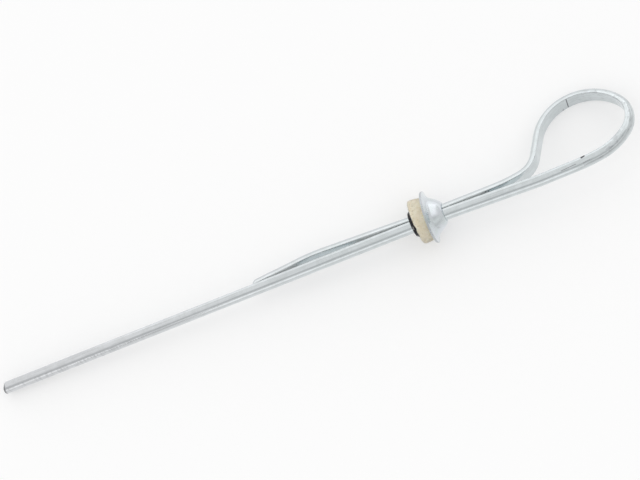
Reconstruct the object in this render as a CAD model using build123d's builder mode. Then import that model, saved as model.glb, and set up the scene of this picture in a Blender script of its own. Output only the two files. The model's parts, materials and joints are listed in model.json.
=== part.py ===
from build123d import *
import math
import os

# Engine oil dipstick: a half-round wire folded like a cotter pin, with a pressed cap, a felt seal
# and a toothed retaining ring. Lengths in millimetres, angles in degrees.
# The pieces are drawn in the frame of the wire: X runs along the stem towards the finger loop,
# the loop lies in the XY plane on the +Y side, and X = 0 is the plane of the cap's rim.
# They are then laid down as the dipstick comes to rest on a table.

# Half-round wire
wire_radius = 3.0
wire_edge_round = 0.3
leg_gap = 0.3

# Stem, the long leg that dips into the oil
stem_reach = 172.9
tip_slant = 1.0
tip_corner_round = 1.5
level_low = 12.0
level_high = 32.0
level_mark_width = 0.6
level_mark_depth = 0.2
level_mark_margin = 0.7

# Near side of the handle
splay_radius = 40.0
splay_angle = 2.3
near_leg_length = 31.0
settle_radius = 100.0
settle_angle = 3.0
near_run_length = 12.0

# Finger loop, bend by bend from the near leg round to the throat
ease_radius = 65.0
ease_angle = 8.3
rise_radius = 21.0
rise_angle = 32.5
crown_radius = 9.3
crown_angle = 84.5
back_radius = 18.0
back_angle = 67.5
heel_radius = 16.5
heel_angle = 51.5
throat_radius = 11.2
lead_run = 0.75
lead_radius = 55.0
lead_angle = 10.0

# Short leg, the friction spring below the cap
bow_start_radius = 60.0
bow_radius = 60.0
bow_reach = 40.35
bow_rise = 1.95
touch_radius = 100.0
touch_reach = 16.8
touch_gap = 0.2
nose_reach = 7.2
nose_end_radius = 0.75
nose_round_length = 2.2
nose_round_depth = 1.9
nose_taper_length = 12.0
nose_taper_angle = 5.5

# Cap, pressed from sheet
sheet = 0.8
flange_diameter = 19.9
brim_angle = 22.0
flare_diameter = 13.1
flare_round = 1.2
crown_bulge = 0.22
cap_height = 5.3
neck_clearance = 0.05
cap_lean = 2.6

# Felt seal
felt_diameter = 17.2
felt_taper = 6.0
felt_depth = 6.15
felt_edge_round = 1.3
felt_shoulder_diameter = 13.2
felt_bore_clearance = 0.1
seat_clearance = 0.12

# Retaining ring
ring_sheet = 0.5
ring_diameter = 11.4
ring_land = 0.7
ring_height = 1.75
ring_dish_diameter = 8.7
ring_tooth_rise = 0.25
ring_slots = 6
ring_slot_width = 0.9
ring_grip_clearance = 0.12
ring_sink = 0.35
ring_lean = 1.8

half_gap = leg_gap / 2
legs_radius = wire_radius + half_gap

# Cap axis: the cap leans with the splayed near leg, pivoting where its neck holds the legs
neck = Vector(cap_height, 0, 0)
cap_axis = Vector(1, 0, 0).rotate(Axis.Z, -cap_lean)
cap_plane = Plane(origin=neck - cap_axis * cap_height, x_dir=cap_axis, z_dir=(0, 0, 1))
cap_line = Axis(cap_plane.origin, cap_axis)

# Felt axis: it leans with the cap, and the legs centre it in the plane of the rim
felt_plane = Plane(origin=(0, 0, 0), x_dir=cap_axis, z_dir=(0, 0, 1))
felt_line = Axis(felt_plane.origin, cap_axis)

# Ring axis: the ring and the tip side of the felt lean the other way, and point towards the tip
ring_axis = Vector(-1, 0, 0).rotate(Axis.Z, ring_lean)
seal_face = Plane(origin=(-felt_depth, 0, 0), x_dir=(0, 0, 1), z_dir=ring_axis)

# Wire: its line is the middle of its flat side, from the tip round the loop to the nose
with BuildPart() as dip_rod:
    with BuildLine() as wire_line:
        splay_start = cap_height + sheet
        stem = Line((-stem_reach, -half_gap), (splay_start, -half_gap))
        splay = JernArc(stem @ 1, stem % 1, splay_radius, -splay_angle)
        near_leg = PolarLine(splay @ 1, near_leg_length, direction=splay % 1)
        settle = JernArc(near_leg @ 1, near_leg % 1, settle_radius, settle_angle)
        near_run = PolarLine(settle @ 1, near_run_length, direction=settle % 1)
        ease = JernArc(near_run @ 1, near_run % 1, ease_radius, ease_angle)
        rise = JernArc(ease @ 1, ease % 1, rise_radius, rise_angle)
        crown = JernArc(rise @ 1, rise % 1, crown_radius, crown_angle)
        back = JernArc(crown @ 1, crown % 1, back_radius, back_angle)
        heel = JernArc(back @ 1, back % 1, heel_radius, heel_angle)
        # The throat turns the wire back along the near leg, and the lead brings it level with the cap
        lead = Vector(-1, 0, 0).rotate(Axis.Z, lead_angle)
        throat_angle = (heel % 1).get_angle(lead)
        throat_tangent = throat_radius * math.tan(math.radians(throat_angle / 2))
        lead_tangent = lead_radius * math.tan(math.radians(lead_angle / 2))
        lead_length = throat_tangent + lead_run + lead_tangent
        throat_height = half_gap - lead.Y * lead_length
        throat = Axis(heel @ 1, heel % 1).intersect(Axis((0, throat_height, 0), (1, 0, 0)))
        lead_corner = throat + lead * lead_length
        bow_start = Vector(-felt_depth, half_gap, 0)
        bow = Vector(bow_start.X - bow_reach, bow_rise - half_gap, 0)
        touch = Vector(bow.X - touch_reach, touch_gap - half_gap, 0)
        nose = touch - Vector(nose_reach, 0, 0)
        FilletPolyline(
            heel @ 1, throat, lead_corner, bow_start, bow, touch, nose,
            radius=[throat_radius, lead_radius, bow_start_radius, bow_radius, touch_radius],
        )
    wire = wire_line.wire()
    tip_plane = Plane(origin=wire @ 0, x_dir=(0, -1, 0), z_dir=wire % 0)
    with BuildSketch(tip_plane) as half_round:
        with BuildLine():
            flat = Line((0, wire_radius), (0, -wire_radius))
            RadiusArc(flat @ 1, flat @ 0, -wire_radius)
        make_face()
        fillet(half_round.vertices(), wire_edge_round)
    sweep(path=wire)
    # The nose of the short leg is ground on its round side, in a long taper that runs into a blunt end
    nose_axis = Axis(nose, -(wire % 1))
    nose_shoulder = nose_end_radius + nose_round_depth
    taper_run = nose_taper_length - nose_round_length
    taper_top = nose_shoulder + taper_run * math.tan(math.radians(nose_taper_angle))
    with BuildSketch(Plane(origin=nose, x_dir=nose_axis.direction, z_dir=(wire % 1).cross(Vector(0, 0, 1)))):
        with BuildLine():
            EllipticalCenterArc(
                (nose_round_length, nose_end_radius), nose_round_length, nose_round_depth,
                start_angle=90, arc_size=90,
            )
            Polyline(
                (nose_round_length, nose_shoulder),
                (nose_taper_length, taper_top),
                (0, taper_top),
                (0, nose_end_radius),
            )
        make_face()
    revolve(axis=nose_axis, revolution_arc=180, mode=Mode.SUBTRACT)
    # The tip is cut a little askew, longest on its round side, and its corners and edges are rounded
    stem_flat = Plane(origin=wire @ 0, x_dir=(1, 0, 0), z_dir=(0, 1, 0))
    tip_side = Vector(-tip_slant, -wire_radius, 0)
    with BuildSketch(stem_flat):
        Rectangle(tip_slant + tip_corner_round, 2 * wire_radius, align=(Align.MIN, Align.CENTER))
        with Locations((tip_slant, 0)):
            RectangleRounded(
                2 * wire_radius, 2 * wire_radius, tip_corner_round,
                align=(Align.MIN, Align.CENTER), mode=Mode.SUBTRACT,
            )
    extrude(amount=tip_side.length, dir=tip_side, mode=Mode.SUBTRACT)
    tip_edges = dip_rod.edges().filter_by_position(
        Axis.X, -stem_reach, tip_slant + tip_corner_round + wire_edge_round - stem_reach
    )
    fillet(tip_edges.filter_by(Axis(wire @ 0, tip_side), reverse=True), wire_edge_round)
    # Two level marks are scribed across the flat of the stem
    with BuildSketch(stem_flat):
        with Locations((level_low, 0), (level_high, 0)):
            Rectangle(level_mark_width, 2 * (wire_radius - level_mark_margin))
    extrude(amount=-level_mark_depth, mode=Mode.SUBTRACT)
dip_rod.part.label = "dip_rod"

# Cap: the middle of its sheet runs from the rim up the brim, round the flare and over to the neck
brim_slope = math.tan(math.radians(brim_angle))
rim_radius = flange_diameter / 2 - sheet / 2
flare_radius = flare_diameter / 2
neck_radius = legs_radius + neck_clearance + sheet / 2
with BuildPart() as cap:
    with BuildSketch(cap_plane):
        with BuildLine() as sheet_line:
            brim = Line((0, rim_radius), ((rim_radius - flare_radius) * brim_slope, flare_radius))
            SagittaArc(brim @ 1, (cap_height - sheet / 2, neck_radius), crown_bulge)
            fillet(sheet_line.vertices().sort_by(Axis.X)[1], flare_round)
            offset(amount=sheet / 2)
        make_face()
    revolve(axis=cap_line)
cap.part.label = "cap"


def brim_underside(radius):
    """Height of the brim's lower face over the plane of the rim, at a radius from the cap's axis."""
    return (rim_radius - radius) * brim_slope - sheet / 2 / math.cos(math.radians(brim_angle))


# Felt: it grips the legs and is pressed against the underside of the brim, and its other face is
# flat for the mouth of the tube
felt_radius = felt_diameter / 2
felt_spread = math.tan(math.radians(felt_taper))
felt_waist = felt_radius - felt_depth * felt_spread
felt_shoulder = felt_shoulder_diameter / 2
felt_crest = brim_underside(felt_shoulder) - seat_clearance
felt_overcut = -felt_depth - felt_edge_round
with BuildPart() as felt_seal:
    with BuildSketch(felt_plane):
        with BuildLine():
            Polyline(
                (felt_overcut, 0),
                (felt_crest, 0),
                (felt_crest, felt_shoulder),
                (brim_underside(felt_waist) - seat_clearance, felt_waist),
                (felt_overcut, felt_waist - felt_overcut * felt_spread),
                close=True,
            )
        make_face()
    revolve(axis=felt_line)
    with Locations(Plane.YZ):
        Hole(legs_radius + felt_bore_clearance)
    split(bisect_by=seal_face, keep=Keep.BOTTOM)
    tip_face = felt_seal.faces().sort_by(Axis.X)[0]
    fillet(tip_face.outer_wire().edges(), felt_edge_round)
    # The retaining ring has pressed its own place into the felt
    with BuildSketch(seal_face):
        Circle(ring_diameter / 2 + seat_clearance)
    extrude(amount=-ring_sink, mode=Mode.SUBTRACT)
felt_seal.part.label = "felt_seal"

# Retaining ring: a flat land in the felt, a dish standing off it and teeth that grip the legs.
# Its section is drawn with X outwards from the legs and Y along the ring's axis.
ring_section = Plane(origin=seal_face.origin, x_dir=(0, 0, 1), z_dir=Vector(0, 0, 1).cross(ring_axis))
ring_seat = seat_clearance - ring_sink
ring_mid = ring_sheet / 2
ring_radius = ring_diameter / 2
ring_dish = ring_dish_diameter / 2
ring_grip = legs_radius + ring_grip_clearance
ring_top = ring_seat + ring_height - ring_mid
with BuildPart() as retaining_ring:
    with BuildSketch(ring_section):
        with BuildLine():
            Polyline(
                (ring_radius - ring_mid, ring_seat + ring_mid),
                (ring_radius - ring_land, ring_seat + ring_mid),
                (ring_dish, ring_top - ring_tooth_rise),
                (ring_grip + ring_mid, ring_top),
            )
            offset(amount=ring_mid)
        make_face()
    revolve(axis=Axis(seal_face.origin, ring_axis))
    with BuildSketch(seal_face.offset(ring_seat)):
        with PolarLocations(ring_dish / 2, ring_slots):
            SlotOverall(ring_dish, ring_slot_width)
    extrude(amount=ring_height, mode=Mode.SUBTRACT)
retaining_ring.part.label = "retaining_ring"

# Rest: the dipstick lies on the edge of its tip, the rim of its cap and the far side of its loop.
# Each lowest point moves as the dipstick leans, so the lean is found by repeating.
settling_rounds = 40
tip_foot = Vector(tip_slant + tip_corner_round - stem_reach, -half_gap, -wire_radius)
down = Vector(0, 1, -1).normalized()
for _ in range(settling_rounds):
    rim_out = (down - cap_axis * down.dot(cap_axis)).normalized()
    rim_foot = cap_plane.origin + rim_out * rim_radius + down * (sheet / 2)
    loop_out = Vector(down.X, down.Y, 0).normalized()
    loop_foot = back.center_point + loop_out * back_radius + down * wire_radius
    down = (loop_foot - tip_foot).cross(rim_foot - tip_foot).normalized()
along = (Vector(1, 0, 0) - down * down.X).normalized()
table = Plane(origin=tip_foot, x_dir=along, z_dir=-down)

# The origin is on the table, under the middle of the whole dipstick
pieces = [dip_rod, cap, felt_seal, retaining_ring]
for piece in pieces:
    piece.part.move(table.location.inverse())
boxes = [piece.part.bounding_box() for piece in pieces]
low = [min(tuple(box.min)[axis] for box in boxes) for axis in range(3)]
high = [max(tuple(box.max)[axis] for box in boxes) for axis in range(3)]
centring = Location((-(low[0] + high[0]) / 2, -(low[1] + high[1]) / 2, -low[2]))
for piece in pieces:
    piece.part.move(centring)

os.makedirs("parts", exist_ok=True)
export_step(dip_rod.part, "parts/dip_rod.step")
export_step(cap.part, "parts/cap.step")
export_step(felt_seal.part, "parts/felt_seal.step")
export_step(retaining_ring.part, "parts/retaining_ring.step")
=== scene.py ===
# %% [markdown]
# An engine oil dipstick, dressed in Blender.
# The real one is a half-round wire folded like a cotter pin, with a pressed cap, a felt ring and a black
# push-on ring threaded over both legs. All four are already solids at their real size, so this lesson
# loads them as a fixed frame and gives them their surfaces. Two of them are modelled again: the cap, whose
# pressed curves are softer than the solid's, and the felt, because a smooth solid can't show matted wool.

# %% Load the four solids
import json
import math
import random

import bpy
import numpy as np
from mathutils import Euler, Matrix, Quaternion, Vector, noise


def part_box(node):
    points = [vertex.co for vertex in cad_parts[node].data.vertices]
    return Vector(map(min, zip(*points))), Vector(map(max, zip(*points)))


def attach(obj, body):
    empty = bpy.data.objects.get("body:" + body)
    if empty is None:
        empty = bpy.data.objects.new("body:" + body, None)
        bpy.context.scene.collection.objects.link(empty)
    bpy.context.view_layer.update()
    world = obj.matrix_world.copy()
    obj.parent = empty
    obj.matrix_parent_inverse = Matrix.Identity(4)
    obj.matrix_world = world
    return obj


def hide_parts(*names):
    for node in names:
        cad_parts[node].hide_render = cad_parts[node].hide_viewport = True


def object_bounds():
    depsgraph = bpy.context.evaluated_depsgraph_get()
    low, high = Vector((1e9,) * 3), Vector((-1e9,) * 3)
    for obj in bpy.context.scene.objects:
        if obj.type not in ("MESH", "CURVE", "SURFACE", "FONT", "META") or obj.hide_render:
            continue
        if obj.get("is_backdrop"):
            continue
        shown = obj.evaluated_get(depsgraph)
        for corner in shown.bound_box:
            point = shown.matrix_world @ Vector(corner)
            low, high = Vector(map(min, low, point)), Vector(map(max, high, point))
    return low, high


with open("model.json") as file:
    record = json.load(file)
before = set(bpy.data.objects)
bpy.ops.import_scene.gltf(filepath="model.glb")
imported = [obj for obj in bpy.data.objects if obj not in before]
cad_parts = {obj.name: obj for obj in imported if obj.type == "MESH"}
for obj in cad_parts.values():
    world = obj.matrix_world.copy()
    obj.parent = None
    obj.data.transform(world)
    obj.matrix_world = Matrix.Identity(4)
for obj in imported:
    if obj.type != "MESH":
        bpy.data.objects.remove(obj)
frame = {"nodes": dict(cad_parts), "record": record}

mm = 0.001
cad_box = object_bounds()
wire, ring = (frame["nodes"][name] for name in ("dip_rod", "retaining_ring"))
for name, solid in frame["nodes"].items():
    print(name, "has", len(solid.data.polygons), "faces")

# %% [markdown]
# The camera looks down on the dipstick from far off with a long lens, as a product photograph does.
# A camera could be turned by three Euler angles found by trial. It is easier to read as where it stands
# round the part, how far away, and how much it is rolled about its own line of sight, which is what lays
# the wire across the picture from corner to corner.

# %% Camera
view_azimuth = math.radians(-54.93)
view_elevation = math.radians(78.522)
view_roll = math.radians(-55.77)
view_distance = 909.09 * mm
view_aim = Vector((4.95, -1.689, 15.743)) * mm
lens_length = 140.625
sensor_width = 36
near_limit = 10 * mm


def direction(azimuth, elevation):
    """A unit vector from the part towards that azimuth and elevation, in radians."""
    level = math.cos(elevation)
    return Vector((level * math.cos(azimuth), level * math.sin(azimuth), math.sin(elevation)))


def add_object(name, data):
    made = bpy.data.objects.new(name, data)
    bpy.context.scene.collection.objects.link(made)
    return made


towards_camera = direction(view_azimuth, view_elevation)
camera = add_object("camera", bpy.data.cameras.new("camera"))
camera.data.lens = lens_length
camera.data.sensor_width = sensor_width
camera.data.clip_start = near_limit
camera.location = view_aim + view_distance * towards_camera
camera.rotation_mode = "QUATERNION"
level_turn = towards_camera.to_track_quat("Z", "Y")
camera.rotation_quaternion = level_turn @ Quaternion((0, 0, 1), view_roll)
bpy.context.scene.camera = camera
bpy.context.scene.view_settings.view_transform = "Standard"
print("camera stands at", [round(value, 4) for value in camera.location])

# %% [markdown]
# Every finish below is a small tree of nodes. They could be added and linked one line at a time, but then
# the idea of a finish drowns in plumbing. These helpers each add one node, or a short row of them, and give
# back its output, so a finish reads like a sum: noise in, remapped, blended, out.

# %% Helpers for nodes
node_spacing = 180


def feed(tree, socket, source):
    """Link a socket to another node's output, or write a plain value into it."""
    if isinstance(source, bpy.types.NodeSocket):
        tree.links.new(source, socket)
    else:
        socket.default_value = source


def add_node(tree, kind, sources=(), **settings):
    """Add a node, set its own settings, and feed its inputs by name or number."""
    node = tree.nodes.new(kind)
    node.location.x = node_spacing * len(tree.nodes)
    for name, value in settings.items():
        setattr(node, name, value)
    for key, source in dict(sources).items():
        feed(tree, node.inputs[key], source)
    return node


def sums(tree, operation, first, second=0.0, third=0.0, clamp=False):
    sources = {0: first, 1: second, 2: third}
    return add_node(tree, "ShaderNodeMath", sources, operation=operation, use_clamp=clamp).outputs[0]


def chain(tree, operation, first, *others):
    """Join any number of values by one operation, such as MULTIPLY or MAXIMUM."""
    joined = first
    for other in others:
        joined = sums(tree, operation, joined, other)
    return joined


def vectors(tree, operation, first, second=(0, 0, 0)):
    """A vector sum. Dot products, lengths and distances come out as a single value."""
    node = add_node(tree, "ShaderNodeVectorMath", {0: first, 1: second}, operation=operation)
    plain = operation in ("DOT_PRODUCT", "LENGTH", "DISTANCE")
    return node.outputs["Value" if plain else "Vector"]


def split(tree, vector):
    """The X, Y and Z of a vector, by name."""
    return add_node(tree, "ShaderNodeSeparateXYZ", {0: vector}).outputs


def remap(tree, value, low, high, to_low=0.0, to_high=1.0, smooth=False):
    sources = {"Value": value, "From Min": low, "From Max": high, "To Min": to_low, "To Max": to_high}
    kind = "SMOOTHSTEP" if smooth else "LINEAR"
    node = add_node(tree, "ShaderNodeMapRange", sources, interpolation_type=kind)
    return node.outputs["Result"]


def cloud(tree, vector, per_metre, detail=2.0, coarse=0.5):
    """Soft noise about the value 0.5, with so many patches to the metre."""
    sources = {"Vector": vector, "Scale": per_metre, "Detail": detail, "Roughness": coarse}
    return add_node(tree, "ShaderNodeTexNoise", sources).outputs["Fac"]


def blend(tree, share, first, second):
    """Mix two colours. A Mix node keeps its colour sockets under these numbers."""
    first_colour, second_colour, mixed = 6, 7, 2
    sources = {"Factor": share, first_colour: first, second_colour: second}
    return add_node(tree, "ShaderNodeMix", sources, data_type="RGBA").outputs[mixed]


print("node helpers ready")

# %% [markdown]
# Bright plated wire has little colour of its own: what it shows is the room. A photographer puts such
# parts in a white tent whose far wall is lit harder than the near one, and hangs a grey card in front of
# them, so that the metal gets a light edge behind, a dark line along its side, and reads as round. The
# world is that tent. Lamps alone could light the part as well, but bare metal would then be black with a
# few hot spots. The felt has hardly any gloss and needs plain white light, so sight lines and reflections
# see the tent's walls, and the light itself is even, only a little stronger from the far wall.

# %% The light tent
tent_level = 0.80
tent_white = (1.0, 1.0, 1.0, 1.0)
bright_wall_azimuth = math.radians(95)
wall_contrast = 0.28
wall_drop = 0.06
wall_top = (0.18, 0.48)
card_grey = (0.68, 0.685, 0.69, 1.0)
card_foot = (0.44, 0.58)
card_head = (0.70, 0.90)
card_side = (0.0, -0.35)

world = bpy.data.worlds.new("light_tent")
bpy.context.scene.world = world
world.use_nodes = True
tent = world.node_tree
look = add_node(tent, "ShaderNodeTexCoord").outputs["Generated"]
look_parts = split(tent, look)
facing_wall = vectors(tent, "DOT_PRODUCT", look, direction(bright_wall_azimuth, 0.0))
wall_share = remap(tent, look_parts["Z"], *wall_top, 1.0, 0.0, smooth=True)
wall_gain = sums(tent, "MULTIPLY_ADD", facing_wall, wall_contrast, -wall_drop)
wall_light = sums(tent, "MULTIPLY_ADD", wall_gain, wall_share, 1.0)
above_foot = remap(tent, look_parts["Z"], *card_foot, smooth=True)
below_head = remap(tent, look_parts["Z"], *card_head, 1.0, 0.0, smooth=True)
on_near_side = remap(tent, look_parts["Y"], *card_side, smooth=True)
card_share = chain(tent, "MULTIPLY", above_foot, below_head, on_near_side)
walls = blend(tent, card_share, tent_white, card_grey)
print("far wall shows as", round(tent_level * (1 + wall_contrast - wall_drop), 2))

# %% [markdown]
# The bell of the cap looks along the wire, at the end of the tent. That end is open and dim, and beside it
# a lamp outside glows through the cloth, so the bell is grey with one long soft highlight. Both could be
# lamps and cards, but their straight edges would show in the bell, where cloth has none. So each is a round
# patch of the tent that fades with the angle from its middle.

# %% The tent's open end and the light patch
open_end_towards = direction(math.radians(2), math.radians(-8))
open_end_fade = (math.cos(math.radians(46)), math.cos(math.radians(37)))
open_end_level = 0.69
open_end_tilt = 0.10
patch_towards = direction(math.radians(50), math.radians(29))
patch_fade = (math.cos(math.radians(54)), math.cos(math.radians(14)))
patch_gain = 0.27


def round_patch(towards, fade):
    """One in the middle of a round patch of the tent, nought past its rim."""
    return remap(tent, vectors(tent, "DOT_PRODUCT", look, towards), *fade, smooth=True)


patch = round_patch(patch_towards, patch_fade)
open_end = round_patch(open_end_towards, open_end_fade)
end_level = sums(tent, "MULTIPLY_ADD", facing_wall, open_end_tilt, open_end_level)
wall_level = sums(tent, "MULTIPLY_ADD", patch, patch_gain, sums(tent, "MULTIPLY", wall_light, tent_level))
tent_shows = remap(tent, open_end, 0.0, 1.0, wall_level, end_level)
print("open end shows as", open_end_level, "and the patch adds", patch_gain)

# %% [markdown]
# What the tent shows and what it lights are now parted. The Light Path node knows whether a ray is a line
# of sight, a reflection or plain light. One world for all would be simpler, but then each change to a
# reflection would change the shadows as well.

# %% What the tent shows and what it lights
plain_level = 0.95
plain_tilt = 0.28


def seen_rays(tree):
    """One for sight lines and for reflections, nought for the light that falls on a surface."""
    rays = add_node(tree, "ShaderNodeLightPath").outputs
    kinds = ("Is Camera Ray", "Is Glossy Ray", "Is Transmission Ray")
    return chain(tree, "MAXIMUM", *(rays[kind] for kind in kinds))


seen = seen_rays(tent)
tent_lights = sums(tent, "MULTIPLY_ADD", facing_wall, plain_tilt * plain_level, plain_level)
backdrop = tent.nodes["Background"]
feed(tent, backdrop.inputs["Color"], blend(tent, seen, tent_white, walls))
feed(tent, backdrop.inputs["Strength"], remap(tent, seen, 0.0, 1.0, tent_lights, tent_shows))
print("tent of", len(tent.nodes), "nodes")

# %% [markdown]
# Four softboxes stand inside the tent. The tall one above the far wall and the low one behind draw the
# light lines along the top of the wire, and the two in front lighten the wire below its dark line. A lamp's
# power is worked out from how bright its face should look, so the metal shows it only a little brighter
# than the tent.

# %% Softboxes


def softbox(name, azimuth, elevation, distance, width, height, brightness):
    """A rectangular lamp that faces the part, with the brightness that its face shows in metal."""
    lamp = bpy.data.lights.new(name, "AREA")
    lamp.shape = "RECTANGLE"
    lamp.size = width
    lamp.size_y = height
    lamp.energy = brightness * math.pi * width * height
    made = add_object(name, lamp)
    towards = direction(math.radians(azimuth), math.radians(elevation))
    made.location = distance * towards
    made.rotation_euler = towards.to_track_quat("Z", "Y").to_euler()
    made.visible_camera = False
    print(name, "gives", round(lamp.energy, 2), "watts")


softbox("tall_softbox", azimuth=97, elevation=62, distance=1.2, width=0.75, height=0.3, brightness=0.17)
softbox("back_softbox", azimuth=104, elevation=14, distance=1.2, width=1.16, height=0.46, brightness=0.14)
softbox("front_softbox", azimuth=-93, elevation=10, distance=0.62, width=0.3, height=0.22, brightness=0.46)
softbox("tip_softbox", azimuth=-116, elevation=9, distance=0.69, width=0.12, height=0.22, brightness=0.4)

# %% [markdown]
# The floor is a plain pale sheet of card that runs far past the picture, so its edge never shows. A large
# plane from Blender's own list would do as well. Four corners written out need no operator, and the helper
# that joins them makes the cap and the fibres too.

# %% Floor
floor_reach = 6.0
floor_corners = [(-1, -1, 0), (1, -1, 0), (1, 1, 0), (-1, 1, 0)]


def new_piece(name, points, faces):
    """A new object from points and faces, shaded smooth."""
    mesh = bpy.data.meshes.new(name)
    mesh.from_pydata(points, [], faces)
    mesh.shade_smooth()
    return add_object(name, mesh)


floor = new_piece("floor", [floor_reach * Vector(corner) for corner in floor_corners], [(0, 1, 2, 3)])
floor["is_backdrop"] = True
print("floor reaches", floor_reach, "m each way")

# %% [markdown]
# The floor's white comes from its own colour and a little light that only sight lines and reflections see.
# It could be lit harder instead, but then the shadow and the pale metal would wash out. The metal sees the
# sheet at a slant, where card is greyer, except behind the part, where it is as light as the wall that it
# runs up to.

# %% Pale card
floor_white = (0.68, 0.68, 0.68, 1.0)
floor_roughness = 0.9
floor_lift = 0.32
slant_loss = 0.31
back_start = (15 * mm, 45 * mm)


def new_finish(name):
    """A material with its node tree, its shader and the piece's own coordinates."""
    made = bpy.data.materials.new(name)
    made.use_nodes = True
    tree = made.node_tree
    place = add_node(tree, "ShaderNodeTexCoord").outputs["Object"]
    return made, tree, tree.nodes["Principled BSDF"], place


def set_plain(shader, values):
    """Write plain values into a shader's own sockets."""
    for name, value in values.items():
        shader.inputs[name].default_value = value


def dress(piece, finish):
    """Give a piece one material all over."""
    piece.data.materials.clear()
    piece.data.materials.append(finish)
    print(piece.name, "wears", finish.name)


card, tree, shader, place = new_finish("pale_card")
set_plain(shader, {"Base Color": floor_white, "Roughness": floor_roughness, "Specular IOR Level": 0.0})
set_plain(shader, {"Emission Color": tent_white})
slant = add_node(tree, "ShaderNodeLayerWeight").outputs["Facing"]
back_loss = remap(tree, split(tree, place)["Y"], *back_start, slant_loss, 0.0, smooth=True)
camera_ray = add_node(tree, "ShaderNodeLightPath").outputs["Is Camera Ray"]
in_metal = sums(tree, "SUBTRACT", 1.0, camera_ray)
glow = sums(tree, "SUBTRACT", floor_lift, chain(tree, "MULTIPLY", slant, back_loss, in_metal))
feed(tree, shader.inputs["Emission Strength"], sums(tree, "MULTIPLY", seen_rays(tree), glow))
dress(floor, card)

# %% [markdown]
# Wire and cap share one finish: electro-plated zinc with a clear, faintly blue passivation. On the real
# parts it is never even. It clouds over a few millimetres, carries a fine crystalline speckle, and is a
# little duller where it is darker. A texture painted by hand would stretch round the bends, so the plate is
# a node group that works in solid space, with its own values in each material.

# %% Zinc plate as a node group
speckles_per_metre = 4200.0
speckle_share = 0.5
cloud_limits = (0.36, 0.66)
VALUE, COLOUR, POINT = "NodeSocketFloat", "NodeSocketColor", "NodeSocketVector"


def new_group(name, takes, gives):
    """A shader node group with named inputs and outputs. Gives the tree, its inputs and its output node."""
    tree = bpy.data.node_groups.new(name, "ShaderNodeTree")
    for socket, kind, value in takes:
        made = tree.interface.new_socket(socket, in_out="INPUT", socket_type=kind)
        if value is not None:
            made.default_value = value
    for socket, kind in gives:
        tree.interface.new_socket(socket, in_out="OUTPUT", socket_type=kind)
    inputs = add_node(tree, "NodeGroupInput").outputs
    return tree, inputs, add_node(tree, "NodeGroupOutput")


zinc_takes = [
    ("Place", POINT, None),
    ("Bright", COLOUR, (0.6, 0.62, 0.64, 1)),
    ("Clouded", COLOUR, (0.5, 0.52, 0.54, 1)),
    ("Clouds per metre", VALUE, 250.0),
    ("Smooth", VALUE, 0.2),
    ("Dull", VALUE, 0.34),
]
zinc_gives = [("Colour", COLOUR), ("Roughness", VALUE), ("Height", VALUE)]
zinc, given, result = new_group("zinc_plate", zinc_takes, zinc_gives)
clouds = cloud(zinc, given["Place"], given["Clouds per metre"], detail=3.0, coarse=0.6)
speckle = cloud(zinc, given["Place"], speckles_per_metre, detail=1.0)
speckled = sums(zinc, "MULTIPLY_ADD", speckle, speckle_share, -speckle_share / 2)
cloudiness = sums(zinc, "ADD", remap(zinc, clouds, *cloud_limits, smooth=True), speckled, clamp=True)
feed(zinc, result.inputs["Colour"], blend(zinc, cloudiness, given["Bright"], given["Clouded"]))
feed(zinc, result.inputs["Roughness"], remap(zinc, cloudiness, 0.0, 1.0, given["Smooth"], given["Dull"]))
feed(zinc, result.inputs["Height"], speckle)
print("zinc plate group has", len(zinc.nodes), "nodes")

# %% [markdown]
# The dipstick has been handled: there is a score across the flat of the loop, a chip at the wire's upper
# edge and a few dark rubs. Each is a short stroke from one point to another, soft at its rim. One group
# measures how far a point of the surface lies from such a stroke, and all three metals use it.

# %% A stroke as a node group
stroke_takes = [
    ("Place", POINT, None),
    ("Start", POINT, None),
    ("End", POINT, None),
    ("Half width", VALUE, 0.2 * mm),
    ("Rim", VALUE, 0.1 * mm),
]
stroke, given, result = new_group("stroke", stroke_takes, [("Mask", VALUE)])
run = vectors(stroke, "SUBTRACT", given["End"], given["Start"])
offset = vectors(stroke, "SUBTRACT", given["Place"], given["Start"])
offset_on_run = vectors(stroke, "DOT_PRODUCT", offset, run)
along = sums(stroke, "DIVIDE", offset_on_run, vectors(stroke, "DOT_PRODUCT", run, run))
along = remap(stroke, along, 0.0, 1.0)
nearest = add_node(stroke, "ShaderNodeVectorMath", {0: run, "Scale": along}, operation="SCALE")
gap = vectors(stroke, "DISTANCE", offset, nearest.outputs["Vector"])
outer = sums(stroke, "ADD", given["Half width"], given["Rim"])
inner = sums(stroke, "SUBTRACT", given["Half width"], given["Rim"])
feed(stroke, result.inputs["Mask"], remap(stroke, gap, outer, inner, smooth=True))


def stroke_mask(tree, place, start, end, half_width, rim):
    """How much of a stroke covers the surface, with its measures in millimetres."""
    sources = {
        "Place": place,
        "Start": Vector(start) * mm,
        "End": Vector(end) * mm,
        "Half width": half_width * mm,
        "Rim": rim * mm,
    }
    return add_node(tree, "ShaderNodeGroup", sources, node_tree=stroke).outputs["Mask"]


def marks_of(tree, place, marks):
    """The depths of a set of marks, real ones and painted ones. A mark is a start, an end, a half width, a
    rim and a depth.
    """
    depths = []
    for start, end, half_width, rim, depth in marks.values():
        mask = stroke_mask(tree, place, start, end, half_width, rim)
        depths.append(sums(tree, "MULTIPLY", mask, depth))
    return chain(tree, "MAXIMUM", *depths)


print("stroke group has", len(stroke.nodes), "nodes")

# %% [markdown]
# The wire was drawn through a half-round die before it was bent, so fine lines run along it. It bends only
# in one plane, so a line of the die keeps its height across that plane all the way round the loop. Noise
# that changes fast across the plane and slowly in it therefore follows the wire everywhere, with no
# unwrapping. The wire's plane leans as the part lies, and a Mapping node takes that lean out first.

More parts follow.
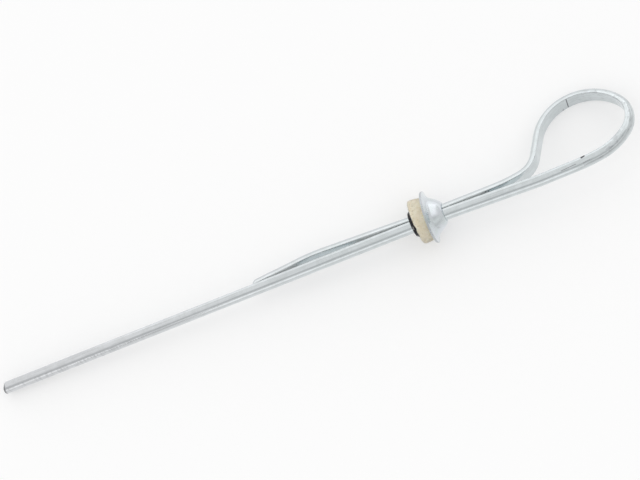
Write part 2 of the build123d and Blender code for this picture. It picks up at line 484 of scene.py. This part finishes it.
# %% The wire's own frame
wire_origin = Vector((45.249, -7.784, 10.028)) * mm
wire_lean = (math.radians(-23.508), math.radians(-2.4685), 0.0)
wire_turn = Euler(wire_lean).to_matrix()


def wire_frame(tree, place):
    """Coordinates with X along the long leg, Y across the loop and Z across the plane of the bends."""
    sources = {"Vector": place, "Location": wire_origin, "Rotation": wire_lean}
    return add_node(tree, "ShaderNodeMapping", sources, vector_type="TEXTURE").outputs["Vector"]


print("wire frame starts at", [round(value / mm, 2) for value in wire_origin], "mm")

# %% [markdown]
# The zinc on the wire is bright and a little bluer towards the loop, where the oil never reaches it. The
# colours could be painted along the wire, but two of them blended by the length along it do the same.

# %% Zinc on the wire
tip_bright = (0.82, 0.835, 0.855, 1)
tip_clouded = (0.77, 0.785, 0.80, 1)
loop_bright = (0.775, 0.82, 0.836, 1)
loop_clouded = (0.72, 0.768, 0.778, 1)
blue_stretch = (-160 * mm, -10 * mm)


def plate(tree, place, **values):
    """Place the zinc group in a material with that material's own values."""
    sources = {name.replace("_", " "): value for name, value in values.items()}
    return add_node(tree, "ShaderNodeGroup", {"Place": place, **sources}, node_tree=zinc).outputs


wire_finish, tree, shader, place = new_finish("zinc_plated_wire")
place = wire_frame(tree, place)
wire_parts = split(tree, place)
length_along = wire_parts["X"]
blueness = remap(tree, length_along, *blue_stretch, smooth=True)
zinc_on_wire = plate(
    tree,
    place,
    Bright=blend(tree, blueness, tip_bright, loop_bright),
    Clouded=blend(tree, blueness, tip_clouded, loop_clouded),
    Clouds_per_metre=300.0,
    Smooth=0.07,
    Dull=0.14,
)
print("zinc turns bluer from", round(blue_stretch[0] / mm), "to", round(blue_stretch[1] / mm), "mm")

# %% [markdown]
# Drawing leaves fine lines and a few broad bands, both as relief and as a darker shade. Bending stretches
# the outside of the loop and wrinkles the plate there into a fine orange peel, and fingers and pockets
# scuff it there in short streaks. The peel is relief and the scuffs are darker plate, and both fade in with
# distance from the cap, because the straight legs have neither.

# %% Drawn lines and bent skin
fine_lines = (60.0, 60.0, 5200.0)
broad_lines = (30.0, 30.0, 1500.0)
scuff_streaks = (380.0, 380.0, 1500.0)
peel_per_metre = 900.0
bent_stretch = (52 * mm, 70 * mm)
line_relief, band_relief, peel_relief, speckle_relief = 0.45, 0.9, 2.6, 0.2
line_depth, band_depth, scuff_depth = 0.25, 0.3, 0.5
line_limits, band_limits, scuff_limits = (0.5, 0.72), (0.58, 0.78), (0.5, 0.66)


def streaks(tree, place, per_metre, detail=2.0, coarse=0.6):
    """Noise drawn out into streaks, with so many patches to the metre along each axis."""
    return cloud(tree, vectors(tree, "MULTIPLY", place, per_metre), 1.0, detail, coarse)


lines = streaks(tree, place, fine_lines)
bands = streaks(tree, place, broad_lines, detail=1.0, coarse=0.5)
scuffs = streaks(tree, place, scuff_streaks)
peel = cloud(tree, place, peel_per_metre, detail=2.0, coarse=0.6)
bent = remap(tree, length_along, *bent_stretch, smooth=True)
relief = sums(tree, "MULTIPLY", zinc_on_wire["Height"], speckle_relief)
relief = sums(tree, "MULTIPLY_ADD", lines, line_relief, relief)
relief = sums(tree, "ADD", relief, chain(tree, "MULTIPLY", peel, bent, peel_relief))
relief = sums(tree, "MULTIPLY_ADD", bands, band_relief, relief)
line_shade = sums(tree, "MULTIPLY", remap(tree, lines, *line_limits), line_depth)
band_shade = sums(tree, "MULTIPLY", remap(tree, bands, *band_limits), band_depth)
scuff_shade = chain(tree, "MULTIPLY", remap(tree, scuffs, *scuff_limits), bent, scuff_depth)
print("lines every", round(1000 / fine_lines[2], 2), "and", round(1000 / broad_lines[2], 2), "mm")

# %% [markdown]
# Towards the tip, the cloth that wipes off the oil has left short slanting marks on the side of the wire.
# They are streaks as well, turned out of the wire's line by one more Mapping node, and they fade in along
# the wire and below its upper edge, as relief and as a faint shade. A Bump node of their own could be put
# behind the first, but all the relief added up needs only one.

# %% Wipe marks
wipe_streaks = (1300.0, 120.0, 160.0)
wipe_slant = math.radians(12)
wiped_stretch = (-100 * mm, -135 * mm)
wiped_height = (1.9 * mm, 1.5 * mm)
wipe_relief = 5.0
wipe_depth = 0.35
wipe_limits = (0.5, 0.64)
line_dark = (0.46, 0.48, 0.50, 1)
wire_bump = 0.35
wire_bump_height = 0.03 * mm


def emboss(tree, shader, relief, strength, height):
    """Tip the shading of a surface by its relief, through a Bump node."""
    sources = {"Strength": strength, "Distance": height, "Height": relief}
    feed(tree, shader.inputs["Normal"], add_node(tree, "ShaderNodeBump", sources).outputs["Normal"])


slanted = add_node(tree, "ShaderNodeMapping", {"Vector": place, "Rotation": (0.0, wipe_slant, 0.0)})
wipes = streaks(tree, slanted.outputs["Vector"], wipe_streaks, detail=1.0, coarse=0.5)
wiped = remap(tree, length_along, *wiped_stretch, smooth=True)
wiped = sums(tree, "MULTIPLY", wiped, remap(tree, wire_parts["Z"], *wiped_height, smooth=True))
relief = sums(tree, "MULTIPLY_ADD", wipes, sums(tree, "MULTIPLY", wiped, wipe_relief), relief)
emboss(tree, shader, relief, wire_bump, wire_bump_height)
wipe_shade = chain(tree, "MULTIPLY", remap(tree, wipes, *wipe_limits), wiped, wipe_depth)
all_shade = chain(tree, "MAXIMUM", line_shade, band_shade, scuff_shade, wipe_shade)
wire_colour = blend(tree, all_shade, zinc_on_wire["Colour"], line_dark)
print("wipe marks start", round(-wiped_stretch[0] / mm), "mm below the cap")

# %% [markdown]
# The marks of use come last, so that they cut through plate and lines alike. Their ends are given in the
# wire's own frame, in millimetres. Worn plate is darker and rougher but still metal, and so is the tip,
# where the wire was cut to length in a soft curve.

# %% Marks on the wire
# This dark steel is also the colour of the painted shade on the cap's rim and dents.
worn_and_shaded_steel = (0.09, 0.09, 0.10, 1)
wire_marks = {
    "score_across_loop": ((60.65, 24.2, 2.7), (60.3, 24.13, -2.3), 0.16, 0.12, 0.9),
    "nick_by_score": ((58.25, 23.74, -2.1), (58.1, 23.7, -2.5), 0.25, 0.2, 0.5),
    "chip_at_edge": ((58.7, -1.77, 2.96), (59.75, -1.54, 2.98), 0.3, 0.15, 0.95),
    "long_rub": ((50.3, -3.42, 2.23), (56.1, -3.12, 2.42), 0.09, 0.1, 0.8),
    "short_rub": ((58.6, -3.53, 1.96), (61.4, -3.22, 2.06), 0.09, 0.1, 0.65),
}
cut_end = (-171.9 * mm, -172.5 * mm)
cut_curve = 0.09 / mm
cut_wear = 0.7
height_squared = sums(tree, "MULTIPLY", wire_parts["Z"], wire_parts["Z"])
cut_place = sums(tree, "MULTIPLY_ADD", height_squared, -cut_curve, length_along)
bare_end = remap(tree, cut_place, *cut_end, 0.0, cut_wear, smooth=True)
wear_and_painted_shade = chain(tree, "MAXIMUM", marks_of(tree, place, wire_marks), bare_end)
print(len(wire_marks), "marks of use, and the bare cut end")

# %% [markdown]
# The photograph shows the slot between the legs grey, where a mirror in such a slot would look black,
# because light is lost at every turn. So light is painted into the slot: the zinc on the inner face of
# the short leg is made white and dull where the slot is narrow, as painted light and not as the plate's
# own colour. A small lamp in the slot would lighten it too, but it would light the legs as well. The face
# is found by the way it faces, square across to the long leg.

# %% Painted light in the slot between the legs
# Painted light: white, dull zinc that lightens the narrow slot, where shade would fall.
slot_painted_light = (0.86, 0.88, 0.88, 1)
cap_stretch = (-32 * mm, -24 * mm, 19 * mm, 25 * mm)
nose_stretch = (-73 * mm, -71 * mm, -56 * mm, -50 * mm)
past_long_leg = (-1.0 * mm, -0.5 * mm)
square_across = (0.93, 0.98)


def stretch_mask(tree, length_along, stretch):
    """One along a stretch of the wire, running out at both ends."""
    rise_start, rise_end, fall_start, fall_end = stretch
    rise = remap(tree, length_along, rise_start, rise_end, smooth=True)
    fall = remap(tree, length_along, fall_start, fall_end, 1.0, 0.0, smooth=True)
    return sums(tree, "MULTIPLY", rise, fall)


facing = add_node(tree, "ShaderNodeTexCoord").outputs["Normal"]
facing_long_leg = vectors(tree, "DOT_PRODUCT", facing, wire_turn @ Vector((0, -1, 0)))
inner_face = remap(tree, facing_long_leg, *square_across, smooth=True)
on_short_leg = remap(tree, wire_parts["Y"], *past_long_leg, smooth=True)
narrow = [stretch_mask(tree, length_along, stretch) for stretch in (cap_stretch, nose_stretch)]
# Where light is painted into the slot: the short leg's inner face, where the slot is narrow.
slot = chain(tree, "MULTIPLY", inner_face, on_short_leg, chain(tree, "MAXIMUM", *narrow))
print("slot is dull on", len(narrow), "stretches of the short leg")

# %% [markdown]
# Plate, wear and the painted light in the slot now meet in the wire's shader. Each could be a shader of
# its own, mixed by its mask, but one shader whose colour, roughness and metal are blended is quicker to
# read and to bake.

# %% Wire finish
worn_roughness = 0.6
slot_roughness = 0.7
slot_metal = 0.1
# The painted light in the slot goes over the plate and its wear, as white dull zinc.
wire_colour = blend(tree, slot, blend(tree, wear_and_painted_shade, wire_colour, worn_and_shaded_steel), slot_painted_light)
wire_roughness = remap(tree, wear_and_painted_shade, 0.0, 1.0, zinc_on_wire["Roughness"], worn_roughness)
wire_roughness = remap(tree, slot, 0.0, 1.0, wire_roughness, slot_roughness)
feed(tree, shader.inputs["Base Color"], wire_colour)
feed(tree, shader.inputs["Roughness"], wire_roughness)
feed(tree, shader.inputs["Metallic"], remap(tree, slot, 0.0, 1.0, 1.0, slot_metal))
dress(wire, wire_finish)

# %% [markdown]
# The cap is one pressed sheet, a bell that runs out into its brim in a wide soft curve, and its hole is
# loose, so it sits a little askew on the legs. The solid has the same rim, neck and sheet, but a tighter
# curve, and it leans in the wire's plane only. A lathe would turn such a form from its section, and so does
# this lesson: the middle line of the sheet is a straight brim and two curves, each drawn from three points.

# %% Cap section
cap_sheet = 0.8 * mm
rim_place = Vector((-0.42, 9.55)) * mm
neck_place = Vector((4.9, 3.72)) * mm
flare_radius = 7.04 * mm
flare_tangent = 1.34 * mm
bell_lead = 3.2 * mm
brim_angle = math.radians(17.6)
bell_angle = math.radians(59.4)
brim_steps = 6
curve_steps = 18


def inwards(angle):
    """A direction in the section, as height and radius, that climbs towards the axis at an angle."""
    return Vector((math.sin(angle), -math.cos(angle)))


def bend(start, pull, end):
    """A curve from start to end that leaves and arrives in line with the point between them."""
    shares = [step / curve_steps for step in range(curve_steps + 1)]
    return [start.lerp(pull, share).lerp(pull.lerp(end, share), share) for share in shares]


brim_run = (rim_place.y - flare_radius) / math.cos(brim_angle)
corner = rim_place + brim_run * inwards(brim_angle)
brim_end = corner - flare_tangent * inwards(brim_angle)
bell_foot = corner + flare_tangent * inwards(bell_angle)
bell = bend(bell_foot, bell_foot + bell_lead * inwards(bell_angle), neck_place)
sheet_line = [rim_place.lerp(brim_end, step / brim_steps) for step in range(brim_steps)]
sheet_line += bend(brim_end, corner, bell_foot)[:-1] + bell
print("cap stands", round((neck_place.x - rim_place.x + cap_sheet) / mm, 2), "mm high")

# %% [markdown]
# The section is the middle line with half the sheet's thickness to each side. A cut edge closes it at the
# rim and at the neck. A half-round edge would be the simplest, but it would catch a white line of light
# that sheared sheet doesn't show, so the edge is nearly flat with softened corners.

# %% The sheet's outline
edge_steps = 12
edge_reach = 0.28 * mm
edge_softness = 0.45


def trimmed_edge(middle, start):
    """Points of the sheet's cut edge, from one face of the sheet round its soft corners to the other."""
    ahead = edge_reach * (Matrix.Rotation(-math.pi / 2, 2) @ start.normalized())
    points = []
    for step in range(edge_steps + 1):
        across = math.cos(math.pi * step / edge_steps)
        reach = max(math.sin(math.pi * step / edge_steps), 0.0) ** edge_softness
        points.append(middle + math.copysign(abs(across) ** edge_softness, across) * start + reach * ahead)
    return points


def sheet_section(line, thickness):
    """The closed outline of a sheet that follows a line."""
    runs = [(after - before).normalized() for before, after in zip(line[:1] + line, line[1:] + line[-1:])]
    offsets = [thickness / 2 * Vector((-run.y, run.x)) for run in runs]
    above = [point + offset for point, offset in zip(line, offsets)]
    below = [point - offset for point, offset in zip(line, offsets)]
    neck_edge = trimmed_edge(line[-1], offsets[-1])
    rim_edge = trimmed_edge(line[0], -offsets[0])
    return above[:-1] + neck_edge + below[-2:0:-1] + rim_edge[:-1]


section = sheet_section(sheet_line, cap_sheet)
print("section of", len(section), "points")

# %% [markdown]
# The section is turned about the cap's own axis, which passes through the middle of the neck. A Screw
# modifier could turn it too. Here the rings of points are made directly, so that the shell is one closed
# mesh whose first and last rings are the same.

# %% Cap shell
cap_lean = math.radians(3.4)
cap_tilt = math.radians(1.5)
cap_lift = Vector((0, 0, 0.18)) * mm
cap_pivot = Vector((5.3, 0, 0)) * mm
turns = 160

level_axis = Vector((math.cos(cap_lean), -math.sin(cap_lean), 0))
cap_axis = wire_turn @ (math.cos(cap_tilt) * level_axis + Vector((0, 0, math.sin(cap_tilt))))
cap_foot = wire_origin + cap_lift + wire_turn @ cap_pivot - cap_pivot.length * cap_axis
cap_side = cap_axis.orthogonal().normalized()

shell_points = []
shell_faces = []
for turn in range(turns):
    outwards = Quaternion(cap_axis, math.tau * turn / turns) @ cap_side
    here = turn * len(section)
    beside = (turn + 1) % turns * len(section)
    for index, (height, radius) in enumerate(section):
        shell_points.append(cap_foot + height * cap_axis + radius * outwards)
        following = (index + 1) % len(section)
        shell_faces.append((here + index, here + following, beside + following, beside + index))
cap_shell = new_piece("cap_shell", shell_points, shell_faces)
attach(cap_shell, "root")
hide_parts("cap")
lowest = min(point.z for point in shell_points)
print("cap shell has", len(shell_faces), "faces, lowest at", round(lowest / mm, 3), "mm")

# %% [markdown]
# The plate of the cap is smoother and bluer than the wire's, because sheet takes a better shine than drawn
# wire, and the press leaves shallow waves and a few dents in the curve between bell and brim, painted
# darker as a painted reflection. The rim is sheared and not polished, so it is duller, and it is painted
# darker too, partly as painted shade: the thin dark line where the brim meets the felt. The rim is found
# by its distance from the cap's axis.

# %% Cap finish
# The rim's darkening is partly a duller sheared edge and partly painted shade, where the brim meets the
# felt.
rim_start = (9.64 * mm, 9.76 * mm)
rim_darkening = 0.3
cap_worn_roughness = 0.5
waves_per_metre = 330.0
cap_speckle_relief = 0.03
press_relief = 0.3
cap_bump = 0.15
cap_bump_height = 0.06 * mm
# Press marks: dents as relief, whose darker colour is a painted reflection.
cap_marks = {
    "press_mark_upper": ((0.36, -2.3, 7.3), (0.42, -2.9, 6.95), 0.2, 0.18, 0.2),
    "press_mark_brim": ((-0.1, -3.2, 7.95), (0.25, -3.1, 7.3), 0.16, 0.15, 0.15),
    "press_mark_side": ((-0.35, -5.9, 6.4), (0.1, -5.4, 5.8), 0.2, 0.18, 0.25),
    "press_mark_low": ((1.5, -6.22, 1.7), (1.95, -6.1, 1.2), 0.22, 0.2, 0.3),
}

cap_finish, tree, shader, place = new_finish("zinc_plated_cap")
offset = vectors(tree, "SUBTRACT", place, cap_foot)
from_axis = vectors(tree, "LENGTH", vectors(tree, "CROSS_PRODUCT", offset, cap_axis))
sheared_rim_shade = remap(tree, from_axis, *rim_start, 0.0, rim_darkening, smooth=True)
place = wire_frame(tree, place)
zinc_on_cap = plate(
    tree,
    place,
    Bright=(0.81, 0.845, 0.885, 1),
    Clouded=(0.765, 0.825, 0.835, 1),
    Clouds_per_metre=260.0,
    Smooth=0.14,
    Dull=0.22,
)
dents_and_painted_reflection = marks_of(tree, place, cap_marks)
waves = cloud(tree, place, waves_per_metre, detail=1.0)
relief = sums(tree, "MULTIPLY_ADD", zinc_on_cap["Height"], cap_speckle_relief, waves)
relief = sums(tree, "SUBTRACT", relief, sums(tree, "MULTIPLY", dents_and_painted_reflection, press_relief))
emboss(tree, shader, relief, cap_bump, cap_bump_height)
# On the cap this is partly painted: the dents' darker colour is a painted reflection, the rim's a painted
# shade.
wear_and_painted_shade = sums(tree, "MAXIMUM", dents_and_painted_reflection, sheared_rim_shade)
cap_roughness = remap(tree, wear_and_painted_shade, 0.0, 1.0, zinc_on_cap["Roughness"], cap_worn_roughness)
feed(tree, shader.inputs["Base Color"], blend(tree, wear_and_painted_shade, zinc_on_cap["Colour"], worn_and_shaded_steel))
feed(tree, shader.inputs["Roughness"], cap_roughness)
set_plain(shader, {"Metallic": 1.0})
dress(cap_shell, cap_finish)

# %% [markdown]
# The push-on ring is spring steel, blackened in hot salts and oiled. The black is thin: it is warmer where
# it is worn and a little glossy from the oil, so it is a dark metal and not black paint. At two places on
# its edge, a painted glint lightens the black to grey.

# %% Black ring finish
black_deep = (0.028, 0.028, 0.031, 1)
black_warm = (0.065, 0.062, 0.06, 1)
glint_grey = (0.42, 0.42, 0.40, 1)
oiled_roughness = 0.28
warm_roughness = 0.46
patches_per_metre = 900.0
patch_limits = (0.35, 0.7)
grit_per_metre = 5200.0
ring_bump = 0.3
ring_bump_height = 0.03 * mm
# Painted glints: two grey strokes on the ring's edge that stand in for highlights on the black steel.
ring_marks = {
    "glint_at_upper_edge": ((-6.85, -3.3, 3.5), (-6.95, -3.9, 2.7), 0.2, 0.18, 0.75),
    "glint_at_lower_edge": ((-6.9, -4.9, 2.1), (-7.0, -5.2, 1.3), 0.22, 0.2, 0.75),
}

ring_finish, tree, shader, place = new_finish("black_spring_steel")
patches = remap(tree, cloud(tree, place, patches_per_metre, detail=3.0), *patch_limits, smooth=True)
# The painted glints lighten the black to grey along their strokes.
painted_glints = marks_of(tree, wire_frame(tree, place), ring_marks)
ring_colour = blend(tree, painted_glints, blend(tree, patches, black_deep, black_warm), glint_grey)
feed(tree, shader.inputs["Base Color"], ring_colour)
feed(tree, shader.inputs["Roughness"], remap(tree, patches, 0.0, 1.0, oiled_roughness, warm_roughness))
emboss(tree, shader, cloud(tree, place, grit_per_metre, detail=2.0), ring_bump, ring_bump_height)
set_plain(shader, {"Metallic": 1.0})
dress(ring, ring_finish)

# %% [markdown]
# The seal is a ring of undyed pressed wool felt. It could keep the smooth solid with a bump, but its edge
# against the floor would stay as sharp as turned plastic. So a copy of the solid is remeshed into small
# even faces, whose points can then be moved one by one.

# %% Even faces for the felt
felt_grain = 0.17 * mm

felt_copy = add_object("felt_copy", frame["nodes"]["felt_seal"].data.copy())
remesh = felt_copy.modifiers.new("even_faces", "REMESH")
remesh.mode = "VOXEL"
remesh.voxel_size = felt_grain
remeshed = felt_copy.evaluated_get(bpy.context.evaluated_depsgraph_get())
felt_mesh = bpy.data.meshes.new_from_object(remeshed)
bpy.data.objects.remove(felt_copy)
felt_mesh.name = "felt_ring"
felt = add_object("felt_ring", felt_mesh)
print("felt body has", len(felt_mesh.polygons), "faces")

# %% [markdown]
# Each point of the felt is sunk by layered noise: broad lumps from pressing, a fine nap, and two dents
# where the ring was pushed on. Sculpting by hand could do it, but it would be different each time. Noise is
# raised to run from about nought upwards, so that points go inwards, and the cap's brim presses them down.
# The range of the sinking is measured and printed.

# %% Felt body
lump_depth = 0.10 * mm
lump_size = 2.2 * mm
nap_depth = 0.10 * mm
nap_size = 0.42 * mm
nap_fineness, nap_step, nap_layers = 0.7, 2.0, 3
brim_clearance = 0.05 * mm
dent_reach = 1.5 * mm
dent_depth = 0.5 * mm
dent_places = ((-6.3, -5.0, 4.6), (-6.3, -6.3, 2.2))
dent_middles = [wire_origin + wire_turn @ Vector(dent_place) * mm for dent_place in dent_places]


def sink(point):
    """How far the felt lies below the solid's skin at a point. Noise about nought is halved and raised."""
    lump = 0.5 + 0.5 * noise.noise(point / lump_size)
    nap = 0.5 + 0.5 * noise.fractal(point / nap_size, nap_fineness, nap_step, nap_layers)
    dents = sum(max(1 - (point - middle).length / dent_reach, 0.0) for middle in dent_middles)
    return lump_depth * lump + nap_depth * nap + dent_depth * dents


def pressed(point):
    """The point, pushed down to the underside of the cap's brim where it would stand above it."""
    offset = point - cap_foot
    height = offset.dot(cap_axis)
    radius = (offset - height * cap_axis).length
    brim_height = rim_place.x + (rim_place.y - radius) * math.tan(brim_angle)
    room = brim_height - cap_sheet / 2 / math.cos(brim_angle) - brim_clearance
    return point - max(height - room, 0.0) * cap_axis


depths = [sink(vertex.co) for vertex in felt_mesh.vertices]
sunk = [pressed(vertex.co - depth * vertex.normal) for vertex, depth in zip(felt_mesh.vertices, depths)]
felt_mesh.vertices.foreach_set("co", np.array(sunk, np.float32).ravel())
felt_mesh.shade_smooth()
felt_mesh.update()
print("felt sinks by", round(min(depths) / mm, 3), "to", round(max(depths) / mm, 3), "mm")

# %% [markdown]
# Loose wool stands out of any cut felt. A particle system could grow it, but hair doesn't go out with a
# mesh, so each fibre will be a small mesh. Fibres grow only where the felt is open to the air: on its wall
# and on the face towards the tip. The record gives the middle of that face and the way it looks.

# %% Where fibres grow
open_wall_radius = 7.2 * mm
open_wall_depth = 4.9 * mm
open_face_radius = 6.3 * mm
open_face_turn = 0.7
seat = next(mount for mount in frame["record"]["mounts"] if mount["name"] == "felt_seat")
seat_point = Vector(seat["pos_m"])
seat_axis = Vector(seat["axis"])
felt_low, felt_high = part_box("felt_seal")
felt_middle = (felt_low + felt_high) / 2


def open_to_air(face):
    """True for a face of the felt's outer wall below the brim, or of its tip-side face."""
    depth = (seat_point - face.center).dot(seat_axis)
    from_middle = face.center - felt_middle
    radius = (from_middle - from_middle.dot(seat_axis) * seat_axis).length
    on_wall = radius > open_wall_radius and depth < open_wall_depth
    return on_wall or (radius > open_face_radius and face.normal.dot(seat_axis) > open_face_turn)


open_faces = [face for face in felt_mesh.polygons if open_to_air(face)]
print(len(open_faces), "faces are open to the air")

# %% [markdown]
# A fibre is a thin closed spindle that leaves the felt, bends over and points back to it. Its root is set
# a little below the skin, so that it doesn't float. Curves with a bevel could be fibres too, but far
# heavier ones. The draws come from a generator with its own seed, so the wool grows the same way each time.

# %% Felt fibres
fibre_count = 5200
fibre_seed = 7
fibre_length = (0.35 * mm, 1.0 * mm)
fibre_curl = (-1.2, 1.2)
fibre_lift = 0.16
lift_share = (0.2, 1.0)
fibre_radius = 0.013 * mm
fibre_rings = (0.3, 0.62)
fibre_sides = 3
root_depth = 0.08 * mm
point_depth = 0.04 * mm
draw = random.Random(fibre_seed)


def add_fibre(root, normal, points, faces):
    """One spindle of wool, as points and triangles."""
    across = normal.orthogonal().normalized()
    lie = Quaternion(normal, draw.uniform(0, math.tau)) @ across
    curl = Quaternion(normal, draw.uniform(*fibre_curl)) @ lie
    length = draw.uniform(*fibre_length)
    lift = draw.uniform(*lift_share) * fibre_lift * length

    def at(share):
        arch = 4 * share * (1 - share)
        flat = lie.lerp(curl, share)
        return root + share * length * flat + (arch * lift - point_depth * share) * normal

    first = len(points)
    points.append(at(0) - root_depth * normal)
    side = normal.cross(lie).normalized()
    for share in fibre_rings:
        for step in range(fibre_sides):
            turn = math.tau * step / fibre_sides
            points.append(at(share) + fibre_radius * (math.cos(turn) * side + math.sin(turn) * normal))
    points.append(at(1))
    last = len(points) - 1
    for step in range(fibre_sides):
        here = first + 1 + step
        beside = first + 1 + (step + 1) % fibre_sides
        faces.append((first, here, beside))
        faces.append((here, here + fibre_sides, beside + fibre_sides))
        faces.append((here, beside + fibre_sides, beside))
        faces.append((last, beside + fibre_sides, here + fibre_sides))


fibre_points = []
fibre_faces = []
for face in draw.choices(open_faces, weights=[face.area for face in open_faces], k=fibre_count):
    add_fibre(face.center, face.normal, fibre_points, fibre_faces)
fibres = new_piece("felt_fibres", fibre_points, fibre_faces)
print(fibre_count, "fibres, as", len(fibre_faces), "triangles")

# %% [markdown]
# Undyed wool is a warm grey beige, lighter where fibres stand out and darker in the hollows, with a few
# brown hairs pressed into it. It has hardly any gloss, only a faint sheen at grazing angles, and light
# runs a little way through it. One flat colour would do from far off, but close up it would look like
# plastic.

# %% Felt finish
wool_light = (0.82, 0.765, 0.625, 1)
wool_deep = (0.74, 0.67, 0.51, 1)
wool_brown = (0.46, 0.36, 0.21, 1)
hollows_per_metre = 700.0
hollow_limits = (0.3, 0.72)
hairs_per_metre = 1700.0
hair_limits = (0.58, 0.74)
hair_share = 0.45
matting_per_metre = 6500.0
felt_bump = 0.6
felt_bump_height = 0.06 * mm
wool_plain = {
    "Roughness": 0.95,
    "Specular IOR Level": 0.15,
    "Sheen Weight": 0.5,
    "Sheen Roughness": 0.5,
    "Subsurface Weight": 0.4,
    "Subsurface Radius": (1.0, 0.8, 0.6),
    "Subsurface Scale": 0.8 * mm,
}

felt_finish, tree, shader, place = new_finish("pressed_wool")
hollows = cloud(tree, place, hollows_per_metre, detail=4.0, coarse=0.7)
hairs = remap(tree, cloud(tree, place, hairs_per_metre, detail=2.0), *hair_limits, smooth=True)
wool = blend(tree, remap(tree, hollows, *hollow_limits, smooth=True), wool_light, wool_deep)
wool = blend(tree, sums(tree, "MULTIPLY", hairs, hair_share), wool, wool_brown)
feed(tree, shader.inputs["Base Color"], wool)
matting = cloud(tree, place, matting_per_metre, detail=3.0, coarse=0.7)
emboss(tree, shader, matting, felt_bump, felt_bump_height)
set_plain(shader, wool_plain)
for piece in (felt, fibres):
    dress(piece, felt_finish)
    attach(piece, "root")
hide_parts("felt_seal")

# %% [markdown]
# A finish must not change a size. The box of the bare solids was kept at the start, and the box of the
# dressed part is measured here, so that the two can be compared.

# %% Size and finish
boxes = {"cad": cad_box, "visual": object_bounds()}
for name, (low, high) in boxes.items():
    print(name, "box in mm:", [round(value / mm, 2) for value in high - low])
